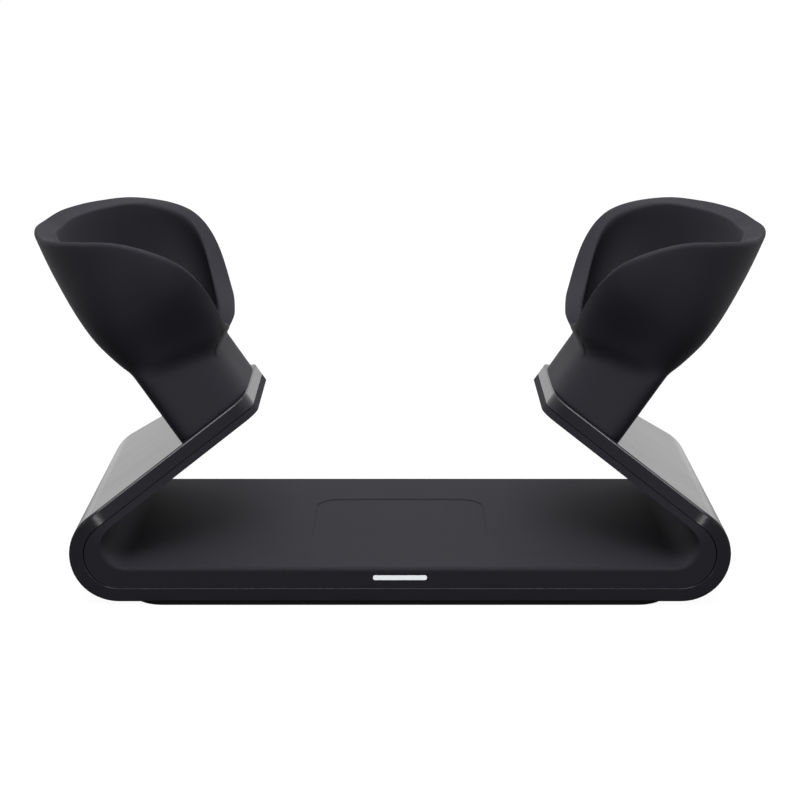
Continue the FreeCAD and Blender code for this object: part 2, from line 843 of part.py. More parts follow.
base_screw_length = v.band_thick + cavity_height - v.screw_spare
base_screw_list = [
    screw(f"base_screw_{i}", x, y, v.pad_thick, v.screw_radius, base_screw_length,
          v.screw_head_radius, v.screw_head_height)
    for i, (x, y) in enumerate(base_screw_spots)]
pieces.append(group("base_screws", base_screw_list))

board_screw_length = v.small_head_height + v.board_thick + v.board_drop + v.deck_skin / 2
board_screw_list = [
    screw(f"board_screw_{i}", x, y, board_bottom - v.small_head_height, v.small_screw_radius,
          board_screw_length, v.small_head_radius, v.small_head_height)
    for i, (x, y) in enumerate(board_screw_spots)]
pieces.append(group("board_screws", board_screw_list))

holder_screw_list = [
    screw(f"holder_screw_{i}", contact_middle, sign * v.holder_screw_y, -v.band_thick, v.screw_radius,
          v.band_thick + v.holder_screw_reach, v.screw_head_radius, v.screw_head_height)
    for i, sign in enumerate((-1, 1))]
left_holder_screws = set_on_left_arm(group("left_holder_screws", holder_screw_list))
pieces.append(left_holder_screws)
pieces.append(other_side("right_holder_screws", left_holder_screws))

contact_screw_length = v.small_head_height + v.contact_board_thick + v.flange_thick + v.floor_thick / 2
contact_screw_low = contact_board_low - v.small_head_height
contact_screw_list = [
    screw(f"contact_screw_{i}", contact_middle, sign * v.contact_screw_y, contact_screw_low,
          v.small_screw_radius, contact_screw_length, v.small_head_radius, v.small_head_height)
    for i, sign in enumerate((-1, 1))]
left_contact_screws = set_on_left_arm(group("left_contact_screws", contact_screw_list))
pieces.append(left_contact_screws)
pieces.append(other_side("right_contact_screws", left_contact_screws))

# Contact units in the floors of the cups
contact_plate = middle_box("contact_plate", contact_middle, 0, contact_board_low,
                           v.contact_board_width, v.contact_board_length, v.contact_board_thick)
contact_drills = fuse("contact_drills", *[
    cylinder(f"contact_drill_{i}", contact_middle, sign * v.contact_screw_y, contact_board_low,
             v.small_screw_radius + v.fit, v.contact_board_thick)
    for i, sign in enumerate((-1, 1))])
left_contact_board = set_on_left_arm(cut("left_contact_board", contact_plate, contact_drills))
pieces.append(left_contact_board)
pieces.append(other_side("right_contact_board", left_contact_board))

block_top = v.floor_top + v.block_proud
shoulder_top = block_top - v.pin_lip - v.fit
shoulder_low = shoulder_top - v.pin_shoulder_height
pin_spots = [("front", -v.pin_pitch / 2), ("rear", v.pin_pitch / 2)]
block_body = middle_box("block_body", contact_middle, 0, flange_low, v.block_width, v.block_length,
                        block_top - flange_low)
block_flange = middle_box("block_flange", contact_middle, 0, flange_low, v.block_width + 2 * v.flange_edge,
                          v.block_length + 2 * v.flange_edge, v.flange_thick)
bores = []
for name, y in pin_spots:
    bores.append(cylinder(f"{name}_wide_bore", contact_middle, y, flange_low,
                          v.pin_shoulder_radius + v.pin_ease, shoulder_top + v.fit - flange_low))
    bores.append(cylinder(f"{name}_bore", contact_middle, y, flange_low,
                          v.pin_radius + v.pin_ease, block_top - flange_low))
left_contact_block = set_on_left_arm(cut(
    "left_contact_block", fuse("block_solid", block_body, block_flange), fuse("block_bores", *bores)))
pieces.append(left_contact_block)
pieces.append(other_side("right_contact_block", left_contact_block))

other_place = {"front": "rear", "rear": "front"}
spring_height = shoulder_low - flange_low
spring_radius = v.pin_shoulder_radius - v.spring_wire
for name, y in pin_spots:
    shoulder = cylinder(f"{name}_shoulder", contact_middle, y, shoulder_low, v.pin_shoulder_radius,
                        v.pin_shoulder_height)
    dome_level = block_top + v.pin_proud - v.pin_radius
    shaft_height = dome_level - shoulder_low
    shaft = cylinder(f"{name}_shaft", contact_middle, y, shoulder_low, v.pin_radius, shaft_height)
    dome = doc.addObject("Part::Sphere", f"{name}_dome")
    bind(dome, "Radius", v.pin_radius)
    place(dome, contact_middle, y, dome_level)
    pin = set_on_left_arm(fuse(f"left_{name}_pin", shoulder, shaft, dome))
    pieces.append(pin)
    pieces.append(other_side(f"right_{name}_pin", pin))

    coil = doc.addObject("Part::Helix", f"{name}_coil")
    bind(coil, "Radius", spring_radius)
    bind(coil, "Height", spring_height - 2 * v.spring_wire)
    bind(coil, "Pitch", (spring_height - 2 * v.spring_wire) / v.spring_turns)
    wire = doc.addObject("Part::Circle", f"{name}_wire")
    wire.Placement = FreeCAD.Placement(
        FreeCAD.Vector(spring_radius.value, 0, 0), FreeCAD.Rotation(FreeCAD.Vector(1, 0, 0), 90))
    bind(wire, "Radius", v.spring_wire)
    bind(wire, "Placement.Base.x", spring_radius)
    doc.recompute()
    swept = doc.addObject("Part::Sweep", f"{name}_swept")
    swept.Sections = [wire]
    swept.Spine = (coil, ["Edge1"])
    swept.Solid = True
    swept.Frenet = True
    place(swept, contact_middle, y, flange_low + v.spring_wire)
    spring = set_on_left_arm(group(f"left_{name}_spring", [swept]))
    pieces.append(spring)
    pieces.append(turned_round(f"right_{other_place[name]}_spring", spring))

# Holders: stem and cup in one moulding, as closed sections stacked square to the arm.
# A section is (level, outer end, inner end, half depth at the outer end, at the inner end, squareness).
section_points = 48


def number_of(name):
    return float(sheet.get(name))


def section(level, outer, inner, outer_half, inner_half, squareness):
    points = []
    turns = [360.0 * k / section_points for k in range(section_points)]
    for turn in turns:
        angle = radians(turn)
        reach = (abs(cos(angle)) ** squareness + abs(sin(angle)) ** squareness) ** (-1 / squareness)
        across = reach * cos(angle)
        half = (outer_half + inner_half) / 2 - across * (outer_half - inner_half) / 2
        x = (outer + inner) / 2 + across * (inner - outer) / 2
        points.append(FreeCAD.Vector(x, half * reach * sin(angle), level))
    return closed_curve(points, turns)


# Closed smooth curve, through each point at its own turn about the axis in degrees.
def closed_curve(points, turns):
    curve = Part.BSplineCurve()
    curve.interpolate(Points=points, PeriodicFlag=True, Parameters=turns + [360.0])
    return curve.toShape()


def stack(rows, straight=False):
    return Part.makeLoft([Part.Wire([section(*row)]) for row in rows], True, straight)


def inset_row(row, wall):
    level, outer, inner, outer_half, inner_half, squareness = row
    return (level, outer + wall, inner - wall, outer_half - wall, inner_half - wall, squareness)


floor_top = number_of("floor_top")
stem_inner = number_of("arm_length")
cup_wall = number_of("cup_wall")
stem_row = (0, stem_inner - number_of("stem_length"), stem_inner, number_of("stem_half_outer"),
            number_of("stem_half_inner"), number_of("stem_square"))
hollow_top = floor_under.value


def stem_at(level):
    return (level,) + stem_row[1:]


# The cup is told by how far it stands out from the stem at five levels
def cup_row(name):
    return (number_of(f"{name}_level"),
            stem_row[1] - number_of(f"{name}_out"),
            stem_row[2] + number_of(f"{name}_in"),
            stem_row[3] + number_of(f"{name}_side_out"),
            stem_row[4] + number_of(f"{name}_side_in"),
            number_of(f"{name}_square"))


cup_rows = [cup_row(name) for name in ("root", "belly", "bowl", "brow", "brim")]
root_level = cup_rows[0][0]
brim_level = cup_rows[-1][0]


# Section of the cup at any level, on a smooth curve through the five.
def cup_at(level):
    last = len(cup_rows) - 1
    k = max(i for i in range(last) if i == 0 or cup_rows[i][0] <= level)
    before, start = cup_rows[max(k - 1, 0)], cup_rows[k]
    end, after = cup_rows[k + 1], cup_rows[min(k + 2, last)]
    span = end[0] - start[0]
    share = (level - start[0]) / span
    made = [level]
    for column in range(1, len(start)):
        leaving = (end[column] - before[column]) / (end[0] - before[0]) * span
        arriving = (after[column] - start[column]) / (after[0] - start[0]) * span
        made.append(start[column] * (2 * share ** 3 - 3 * share ** 2 + 1)
                    + leaving * (share ** 3 - 2 * share ** 2 + share)
                    + end[column] * (3 * share ** 2 - 2 * share ** 3)
                    + arriving * (share ** 3 - share ** 2))
    return tuple(made)


# Outside: the stem's section below, easing into the cup's between the root and the stem's top
stem_top = number_of("stem_top")


def outside_at(level):
    share = min(max((level - root_level) / (stem_top - root_level), 0), 1)
    ease = share * share * (3 - 2 * share)
    stem = stem_at(level)
    cup = cup_at(max(level, root_level))
    return (level,) + tuple(a + (b - a) * ease for a, b in zip(stem[1:], cup[1:]))


def even_levels(low, high, steps):
    return [low + (high - low) * k / steps for k in range(steps)]


ease_steps = 6
cup_steps = 9
outside_levels = [0, root_level / 2] + even_levels(root_level, stem_top, ease_steps)
outside_levels += even_levels(stem_top, brim_level, cup_steps) + [brim_level]
outside = stack([outside_at(level) for level in outside_levels])
stem_wall = number_of("stem_wall")
stem_hollow = stack([inset_row(stem_at(level), stem_wall) for level in (0, hollow_top)], straight=True)

# Inside of the cup: a rounded floor, then one wall thickness in from the outside
floor_round = number_of("floor_round")
floor_steps = 4
floor_end = floor_top + floor_round


def cavity_at(level):
    above = min((level - floor_top) / floor_round, 1)
    curl = floor_round * (1 - sqrt(1 - (1 - above) ** 2))
    return inset_row(outside_at(level), cup_wall + curl)


cavity_levels = [floor_top + floor_round * (1 - cos(pi / 2 * k / floor_steps)) for k in range(floor_steps)]
cavity_levels += even_levels(floor_end, brim_level, cup_steps) + [brim_level]
cup_cavity = stack([cavity_at(level) for level in cavity_levels])

# Rim: its height at turns about the cup's axis, as a share of the way from the notch in the inner side
# up to the outer tip; the whole rim is a little higher at the back
rim_shape = [(0, 0), (18, 0.028), (32, 0.056), (44, 0.085), (55, 0.15), (67, 0.513), (82, 0.75), (100, 0.868),
             (122, 0.934), (150, 0.971), (180, 1)]
rim_turns = rim_shape + [(360 - turn, share) for turn, share in reversed(rim_shape[1:-1])]
notch_bottom = number_of("notch_bottom")
rim_rise = number_of("cup_tip") - notch_bottom
rim_lean = number_of("rim_lean")
bowl_row = cup_rows[2]
rim_middle = (bowl_row[1] + bowl_row[2]) / 2


def rim_curve(reach):
    points = []
    for turn, share in rim_turns:
        angle = radians(turn)
        level = notch_bottom + rim_rise * share + rim_lean * sin(angle)
        points.append(FreeCAD.Vector(rim_middle + reach * cos(angle), reach * sin(angle), level))
    return closed_curve(points, [float(turn) for turn, share in rim_turns])


rim_face = Part.makeRuledSurface(rim_curve(number_of("rim_within")), rim_curve(number_of("rim_beyond")))
mouth_tool = rim_face.extrude(FreeCAD.Vector(0, 0, brim_level))

# Screw bosses and the window for the contact block
contact_at = contact_middle.value
screw_radius = number_of("screw_radius")
small_radius = number_of("small_screw_radius")
boss_wall = number_of("boss_wall")
boss_sink = number_of("boss_sink")
flange_thick = number_of("flange_thick")
floor_thick = number_of("floor_thick")
screw_spare = number_of("screw_spare")
up = FreeCAD.Vector(0, 0, 1)
bosses = []
pilots = []
for sign in (-1, 1):
    foot = FreeCAD.Vector(contact_at, sign * number_of("holder_screw_y"), 0)
    bosses.append(Part.makeCylinder(screw_radius + boss_wall, hollow_top + boss_sink, foot, up))
    pilots.append(Part.makeCylinder(screw_radius, number_of("holder_screw_reach") + screw_spare, foot, up))
    seat = FreeCAD.Vector(contact_at, sign * number_of("contact_screw_y"), flange_low.value)
    bosses.append(Part.makeCylinder(small_radius + boss_wall / 2, flange_thick + boss_sink, seat, up))
    pilots.append(Part.makeCylinder(small_radius, flange_thick + floor_thick / 2, seat, up))
window_width = number_of("block_width") + 2 * number_of("fit")
window_length = number_of("block_length") + 2 * number_of("fit")
window_corner = FreeCAD.Vector(contact_at - window_width / 2, -window_length / 2, hollow_top - boss_sink)
window = Part.makeBox(window_width, window_length, floor_top, window_corner)

holder_shape = outside.cut(cup_cavity)
holder_shape = holder_shape.cut(stem_hollow)
holder_shape = holder_shape.cut(mouth_tool)
holder_shape = holder_shape.fuse(bosses)
holder_shape = holder_shape.cut(pilots + [window])

left_holder = doc.addObject("Part::Feature", "left_holder")
left_holder.Label = "left_holder"
left_holder.Shape = max(holder_shape.Solids, key=lambda solid: solid.Volume)
set_on_left_arm(left_holder)
pieces.append(left_holder)
pieces.append(other_side("right_holder", left_holder))

# Check and write the pieces
doc.recompute()
os.makedirs("parts", exist_ok=True)
for thing in doc.Objects:
    if "Invalid" in thing.State or "Error" in thing.State:
        raise RuntimeError(f"{thing.Name} did not compute: {thing.State}")
for piece in pieces:
    shape = piece.Shape
    if shape.isNull() or not shape.isValid() or not shape.Solids:
        raise RuntimeError(f"{piece.Label} has no valid solid")
    shape.exportStep(f"parts/{piece.Label}.step")
    size_box = shape.BoundBox
    print(f"{piece.Label}: {len(shape.Solids)} solid, {shape.Volume:.1f} mm3, "
          f"x {size_box.XMin:.1f}..{size_box.XMax:.1f}, y {size_box.YMin:.1f}..{size_box.YMax:.1f}, "
          f"z {size_box.ZMin:.1f}..{size_box.ZMax:.1f}")
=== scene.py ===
import json
from math import atan2, cos, degrees, exp, hypot, pi, radians, sin, sqrt

import bmesh
import bpy
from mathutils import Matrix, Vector


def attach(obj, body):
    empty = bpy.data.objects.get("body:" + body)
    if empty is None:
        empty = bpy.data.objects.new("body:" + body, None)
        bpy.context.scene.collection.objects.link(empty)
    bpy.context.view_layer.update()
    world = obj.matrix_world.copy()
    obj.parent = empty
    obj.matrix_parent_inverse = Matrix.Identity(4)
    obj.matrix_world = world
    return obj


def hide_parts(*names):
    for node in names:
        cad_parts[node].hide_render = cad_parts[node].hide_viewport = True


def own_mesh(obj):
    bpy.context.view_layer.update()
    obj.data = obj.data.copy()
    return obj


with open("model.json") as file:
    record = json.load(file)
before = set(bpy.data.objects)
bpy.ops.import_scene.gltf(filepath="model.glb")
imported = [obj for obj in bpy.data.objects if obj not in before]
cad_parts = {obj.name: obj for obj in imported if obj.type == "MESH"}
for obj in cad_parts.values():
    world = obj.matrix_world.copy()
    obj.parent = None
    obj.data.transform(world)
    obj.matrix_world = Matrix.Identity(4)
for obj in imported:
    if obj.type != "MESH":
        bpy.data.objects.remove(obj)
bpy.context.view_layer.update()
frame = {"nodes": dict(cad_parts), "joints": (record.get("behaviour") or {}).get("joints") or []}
nodes = frame["nodes"]
print("frame loaded:", len(nodes), "nodes")


# materials

def startMaterial(name, color, roughness, metallic=0.0, specular=0.5):
    mat = bpy.data.materials.new(name)
    mat.use_nodes = True
    shader = mat.node_tree.nodes["Principled BSDF"]
    shader.inputs["Base Color"].default_value = (*color, 1)
    shader.inputs["Roughness"].default_value = roughness
    shader.inputs["Metallic"].default_value = metallic
    shader.inputs["Specular IOR Level"].default_value = specular
    return mat, shader


# the values set the node's inputs, or its settings where it has no such input
def addNode(mat, kind, **values):
    node = mat.node_tree.nodes.new(kind)
    for key, value in values.items():
        if key in node.inputs:
            node.inputs[key].default_value = value
        else:
            setattr(node, key, value)
    return node


def objectNoise(mat, scale, detail, stretch=(1, 1, 1)):
    coords = addNode(mat, "ShaderNodeTexCoord")
    mapping = addNode(mat, "ShaderNodeMapping", Scale=stretch)
    noise = addNode(mat, "ShaderNodeTexNoise", Scale=scale, Detail=detail, Roughness=0.6)
    mat.node_tree.links.new(coords.outputs["Object"], mapping.inputs["Vector"])
    mat.node_tree.links.new(mapping.outputs["Vector"], noise.inputs["Vector"])
    return noise.outputs["Fac"]


def axisParts(mat, coordsName):
    coords = addNode(mat, "ShaderNodeTexCoord")
    split = addNode(mat, "ShaderNodeSeparateXYZ")
    mat.node_tree.links.new(coords.outputs[coordsName], split.inputs[0])
    return split.outputs


def mapRange(mat, value, before, after, **values):
    node = addNode(mat, "ShaderNodeMapRange", **values)
    for key, number in zip(("From Min", "From Max", "To Min", "To Max"), (*before, *after)):
        node.inputs[key].default_value = number
    mat.node_tree.links.new(value, node.inputs["Value"])
    return node.outputs["Result"]


def varyColor(mat, shader, dark, light, fac, spread=(0.3, 0.7)):
    ramp = addNode(mat, "ShaderNodeValToRGB")
    for element, position, color in zip(ramp.color_ramp.elements, spread, (dark, light)):
        element.position = position
        element.color = (*color, 1)
    mat.node_tree.links.new(fac, ramp.inputs["Fac"])
    mat.node_tree.links.new(ramp.outputs["Color"], shader.inputs["Base Color"])


def varyRoughness(mat, shader, gloss, fac):
    mat.node_tree.links.new(mapRange(mat, fac, (0, 1), gloss), shader.inputs["Roughness"])


def addBump(mat, shader, height, strength, fac):
    bump = addNode(mat, "ShaderNodeBump", Strength=strength, Distance=height)
    mat.node_tree.links.new(fac, bump.inputs["Height"])
    mat.node_tree.links.new(bump.outputs["Normal"], shader.inputs["Normal"])


def makeFinish(name, finish):
    mat, shader = startMaterial(name, finish["light"], finish["gloss"][0], finish["metallic"], finish["specular"])
    varyColor(mat, shader, finish["dark"], finish["light"], objectNoise(mat, *finish["cloud"]))
    varyRoughness(mat, shader, finish["gloss"], objectNoise(mat, *finish["wear"]))
    addBump(mat, shader, *finish["bump"], objectNoise(mat, *finish["grain"]))
    return mat


# in each finish, cloud, wear and grain are the scale, detail and stretch of the noise in colour, gloss and bump;
# gloss is the range of roughness, bump the height in metres and the strength

# dark anodised plate: fine even grain, a little soft banding in the gloss
bandFinish = {
    "dark": (0.0158, 0.0155, 0.0196), "light": (0.0178, 0.0174, 0.022),
    "gloss": (0.17, 0.23), "metallic": 0.0, "specular": 0.33,
    "cloud": (38, 3), "wear": (38, 2, (0.4, 2, 1)), "grain": (2600, 1), "bump": (0.00002, 0.12),
}
# moulded plastic with a spark-eroded texture
plasticFinish = {
    "dark": (0.0188, 0.0184, 0.0246), "light": (0.0202, 0.0198, 0.0264),
    "gloss": (0.6, 0.66), "metallic": 0.0, "specular": 0.17,
    "cloud": (55, 3), "wear": (110, 3), "grain": (1500, 2), "bump": (0.00006, 0.22),
}
deckFinish = dict(plasticFinish, dark=(0.0196, 0.0192, 0.025), light=(0.0206, 0.0202, 0.0262),
                  gloss=(0.7, 0.76), specular=0.1)
rubberFinish = dict(plasticFinish, dark=(0.012, 0.012, 0.012), light=(0.018, 0.018, 0.018),
                    gloss=(0.75, 0.85), specular=0.2, grain=(900, 2))
socketFinish = dict(plasticFinish, dark=(0.016, 0.016, 0.018), light=(0.022, 0.022, 0.024),
                    gloss=(0.42, 0.5), specular=0.45)
chipFinish = dict(socketFinish, gloss=(0.38, 0.46), cloud=(300, 3), wear=(600, 3))
ledFinish = dict(plasticFinish, dark=(0.72, 0.68, 0.42), light=(0.82, 0.8, 0.6),
                 gloss=(0.35, 0.45), specular=0.5)
cableFinish = dict(plasticFinish, dark=(0.6, 0.59, 0.55), light=(0.7, 0.69, 0.65),
                   gloss=(0.35, 0.45), specular=0.5, grain=(700, 2))
boardFinish = dict(plasticFinish, dark=(0.012, 0.1, 0.035), light=(0.02, 0.14, 0.05),
                   gloss=(0.25, 0.38), specular=0.5, grain=(500, 2))
# bare metal; shade is how much darker its clouds are
steelFinish = {
    "shade": 0.86, "metallic": 1.0, "specular": 0.5,
    "cloud": (400, 3), "wear": (900, 2), "grain": (2500, 1), "bump": (0.00001, 0.1),
}


def makeSteel(name, color, gloss):
    dark = tuple(c * steelFinish["shade"] for c in color)
    return makeFinish(name, dict(steelFinish, dark=dark, light=color, gloss=gloss))


# lit strip: a frosted front that glows, on a black body
lightFinish = {
    "color": (0.86, 0.88, 0.9), "body": (0.01, 0.01, 0.012), "roughness": 0.45,
    "glow": (0.9, 0.93, 1.0), "strength": 0.25, "front": (-0.0579, -0.0575),
    "grain": (2000, 3), "bump": (0.00002, 0.1),
}


# the glow fades out along Y, just behind the front face
def makeLight():
    mat, shader = startMaterial("litStrip", lightFinish["color"], lightFinish["roughness"])
    strength = lightFinish["strength"]
    glow = mapRange(mat, axisParts(mat, "Object")["Y"], lightFinish["front"], (strength, 0))
    mat.node_tree.links.new(glow, shader.inputs["Emission Strength"])
    shader.inputs["Emission Color"].default_value = (*lightFinish["glow"], 1)
    varyColor(mat, shader, lightFinish["body"], lightFinish["color"], glow, (0, strength))
    addBump(mat, shader, *lightFinish["bump"], objectNoise(mat, *lightFinish["grain"]))
    return mat


holderPlastic = makeFinish("holderPlastic", plasticFinish)
looks = {
    "frame_band": makeFinish("bandMetal", bandFinish),
    "deck_liner": makeFinish("deckPlastic", deckFinish),
    "left_holder": holderPlastic,
    "right_holder": holderPlastic,
    "foot_pad": makeFinish("padRubber", rubberFinish),
    "light_bar": makeLight(),
    "main_board": makeFinish("boardLacquer", boardFinish),
    "led_chips": makeFinish("ledCover", ledFinish),
    "control_chips": makeFinish("chipBlack", chipFinish),
    "cable_sockets": makeFinish("socketPlastic", socketFinish),
    "usb_socket": makeSteel("inletSteel", (0.52, 0.52, 0.53), (0.25, 0.35)),
}
screwSteel = makeSteel("screwSteel", (0.42, 0.42, 0.43), (0.3, 0.42))
springSteel = makeSteel("springSteel", (0.55, 0.55, 0.56), (0.2, 0.3))
pinBrass = makeSteel("pinBrass", (0.72, 0.5, 0.2), (0.12, 0.2))
cablePlastic = makeFinish("cablePlastic", cableFinish)
looks["base_screws"] = looks["board_screws"] = screwSteel
for side in ("left", "right"):
    looks[side + "_flat_cable"] = cablePlastic
    looks[side + "_holder_screws"] = looks[side + "_contact_screws"] = screwSteel
    looks[side + "_contact_board"] = looks["main_board"]
    looks[side + "_contact_block"] = looks["cable_sockets"]
    for place in ("front", "rear"):
        looks[side + "_" + place + "_pin"] = pinBrass
        looks[side + "_" + place + "_spring"] = springSteel

for name, obj in nodes.items():
    obj.data.materials.clear()
    obj.data.materials.append(looks[name])
print("materials on", len(looks), "nodes")


# new pieces

mergeGap = 1e-7  # metres
sharpAngle = 40  # degrees


def makePiece(bm, name, mat):
    mesh = bpy.data.meshes.new(name)
    bm.to_mesh(mesh)
    bm.free()
    if "custom_normal" in mesh.attributes:  # a solid's own normals no longer fit once its seams are merged
        mesh.attributes.remove(mesh.attributes["custom_normal"])
    mesh.shade_smooth()
    mesh.set_sharp_from_angle(angle=radians(sharpAngle))
    mesh.materials.append(mat)
    obj = bpy.data.objects.new(name, mesh)
    bpy.context.scene.collection.objects.link(obj)
    return obj


# holders: each a grid folded into a closed shell, from the foot up the outside, over the rim and down inside
holder = {
    # left arm's face: slope in degrees, place in mm, as all lengths here are
    "slope": 34.5, "armX": -103.02, "armZ": 30.77,
    # outer end, inner end, half depth at each, squareness
    "stem": (33, 61, 40.3, 26.3, 4.6),
    # level, how far the cup stands out from each of the stem's four sizes there, squareness
    "rows": [(11, -0.8, -0.4, -2.6, -6.9, 4.2), (25, 1.4, 10, -0.5, 2.6, 3.6), (45, 5.9, 19.1, 0.6, 19.7, 3.1),
             (68, 6.3, 33, -1.7, 20.9, 2.2), (92, 2.6, 37.8, -5.7, 8.8, 1.8)],
    "creaseIn": 15, "creaseOut": 26, "creaseWidth": 6,
    # turn in degrees from the inner side, share of the way up from notch to tip
    "rim": [(0, 0), (18, 0.028), (32, 0.056), (44, 0.085), (55, 0.15), (67, 0.513), (82, 0.75), (100, 0.868),
            (122, 0.934), (150, 0.971), (180, 1)],
    "rimMiddle": 53.6, "notch": 18.5, "tip": 85.8, "lean": 2.8,
    # turn, width in degrees, rise
    "shoulders": [(62, 13, 2.8), (135, 26, 0.7)],
    "wall": 7.2, "rimDish": 0.65, "rimRound": 1.2, "longestDrop": 3, "footRound": 0.2,
    "floor": 13, "floorThick": 3, "floorRound": 6, "stemWall": 3,
    # middle, half width, half depth
    "window": (47, 3.6, 6.6),
    "searchTop": 110.0, "searchSteps": 40,
    "ringPoints": 240, "outsideRings": 44, "insideRings": 34, "roundRings": 5,
}


# smooth curve through rows that each begin with where they apply
def through(rows, at):
    last = len(rows) - 1
    k = max(i for i in range(last) if i == 0 or rows[i][0] <= at)
    before, start, end, after = rows[max(k - 1, 0)], rows[k], rows[k + 1], rows[min(k + 2, last)]
    span = end[0] - start[0]
    t = (at - start[0]) / span
    made = []
    for b, s, e, a in zip(before[1:], start[1:], end[1:], after[1:]):
        leave = (e - b) / (end[0] - before[0]) * span
        arrive = (a - s) / (after[0] - start[0]) * span
        made.append(s * (2 * t ** 3 - 3 * t ** 2 + 1) + leave * (t ** 3 - 2 * t ** 2 + t)
                    + e * (3 * t ** 2 - 2 * t ** 3) + arrive * (t ** 3 - t ** 2))
    return made


def cupRow(level):
    stem = holder["stem"]
    out, inn, sideOut, sideIn, square = through(holder["rows"], max(level, holder["rows"][0][0]))
    return stem[0] - out, stem[1] + inn, stem[2] + sideOut, stem[3] + sideIn, square


def sectionPoint(row, turn, inset=0.0):
    outer, inner, outerHalf, innerHalf, square = row
    outer, inner = outer + inset, inner - inset
    outerHalf, innerHalf = outerHalf - inset, innerHalf - inset
    reach = (abs(cos(turn)) ** square + abs(sin(turn)) ** square) ** (-1 / square)
    across = reach * cos(turn)
    half = (outerHalf + innerHalf) / 2 - across * (outerHalf - innerHalf) / 2
    return (outer + inner) / 2 + across * (inner - outer) / 2, half * reach * sin(turn)


# the stem swells into the cup at a crease that climbs towards the outer end; the inside follows the cup alone
def wallPoint(level, turn, inset=0.0):
    stem = holder["stem"]
    stemX, stemY = sectionPoint(stem, turn, inset)
    cupX, cupY = sectionPoint(cupRow(level), turn, inset)
    outwards = (stem[1] - stemX) / (stem[1] - stem[0])
    crease = holder["creaseIn"] + (holder["creaseOut"] - holder["creaseIn"]) * outwards
    t = min(max((level - crease) / holder["creaseWidth"], 0.0), 1.0)
    share = max(t * t * (3 - 2 * t), min(inset / holder["wall"], 1.0))
    return stemX + (cupX - stemX) * share, stemY + (cupY - stemY) * share


# rim height by turn about the cup's axis, a little higher at the back and with shoulders there
def rimHeight(x, y):
    turn = degrees(atan2(y, x - holder["rimMiddle"]))
    rim = holder["rim"]
    closed = [(-rim[1][0], rim[1][1])] + rim + [(360 - rim[-2][0], rim[-2][1])]
    share = through(closed, abs(turn))[0]
    lift = holder["lean"] * sin(radians(turn))
    for middle, width, rise in holder["shoulders"]:
        lift += rise * exp(-((turn - middle) / width) ** 2)
    return holder["notch"] + (holder["tip"] - holder["notch"]) * share + lift


# the level up to which a test holds, by halving
def lastLevel(low, high, holds):
    for step in range(holder["searchSteps"]):
        level = (low + high) / 2
        if holds(level):
            low = level
        else:
            high = level
    return level


# level of the rim's top, which falls inwards at the outer end
def rimLevel(turn, inset):
    dish = holder["rimDish"] * max(-cos(turn), 0.0) * inset
    return lastLevel(0.0, holder["searchTop"],
                     lambda level: rimHeight(*wallPoint(level, turn, inset)) - dish > level)


def cavityInset(level):
    above = min(max((level - holder["floor"]) / holder["floorRound"], 0.0), 1.0)
    return holder["wall"] + holder["floorRound"] * (1 - sqrt(1 - (1 - above) ** 2))


# how far down the wall the rim's round starts, so that it is as wide where the rim runs steeply
def roundDrops(turns, tops, inset):
    points = [(*wallPoint(top, turn, inset), top) for turn, top in zip(turns, tops)]
    drops = []
    for k in range(len(points)):
        before, after = points[k - 1], points[(k + 1) % len(points)]
        run = hypot(after[0] - before[0], after[1] - before[1])
        steepness = hypot(1, (after[2] - before[2]) / run)
        drops.append(holder["rimRound"] * min(steepness, holder["longestDrop"]))
    return drops


# below 1 inside the window in the cavity's floor, 1 on its edge
def windowSide(x, y):
    middle, halfWidth, halfDepth = holder["window"]
    return max(abs(x - middle) / halfWidth, abs(y) / halfDepth)


def windowPoint(x, y):
    middle = holder["window"][0]
    side = windowSide(x, y)
    return middle + (x - middle) / side, y / side


# lowest level the cavity reaches at this turn: its floor, or the edge of the window cut through it
def cavityEnd(turn, start):
    return lastLevel(holder["floor"], start,
                     lambda level: windowSide(*wallPoint(level, turn, cavityInset(level))) < 1)


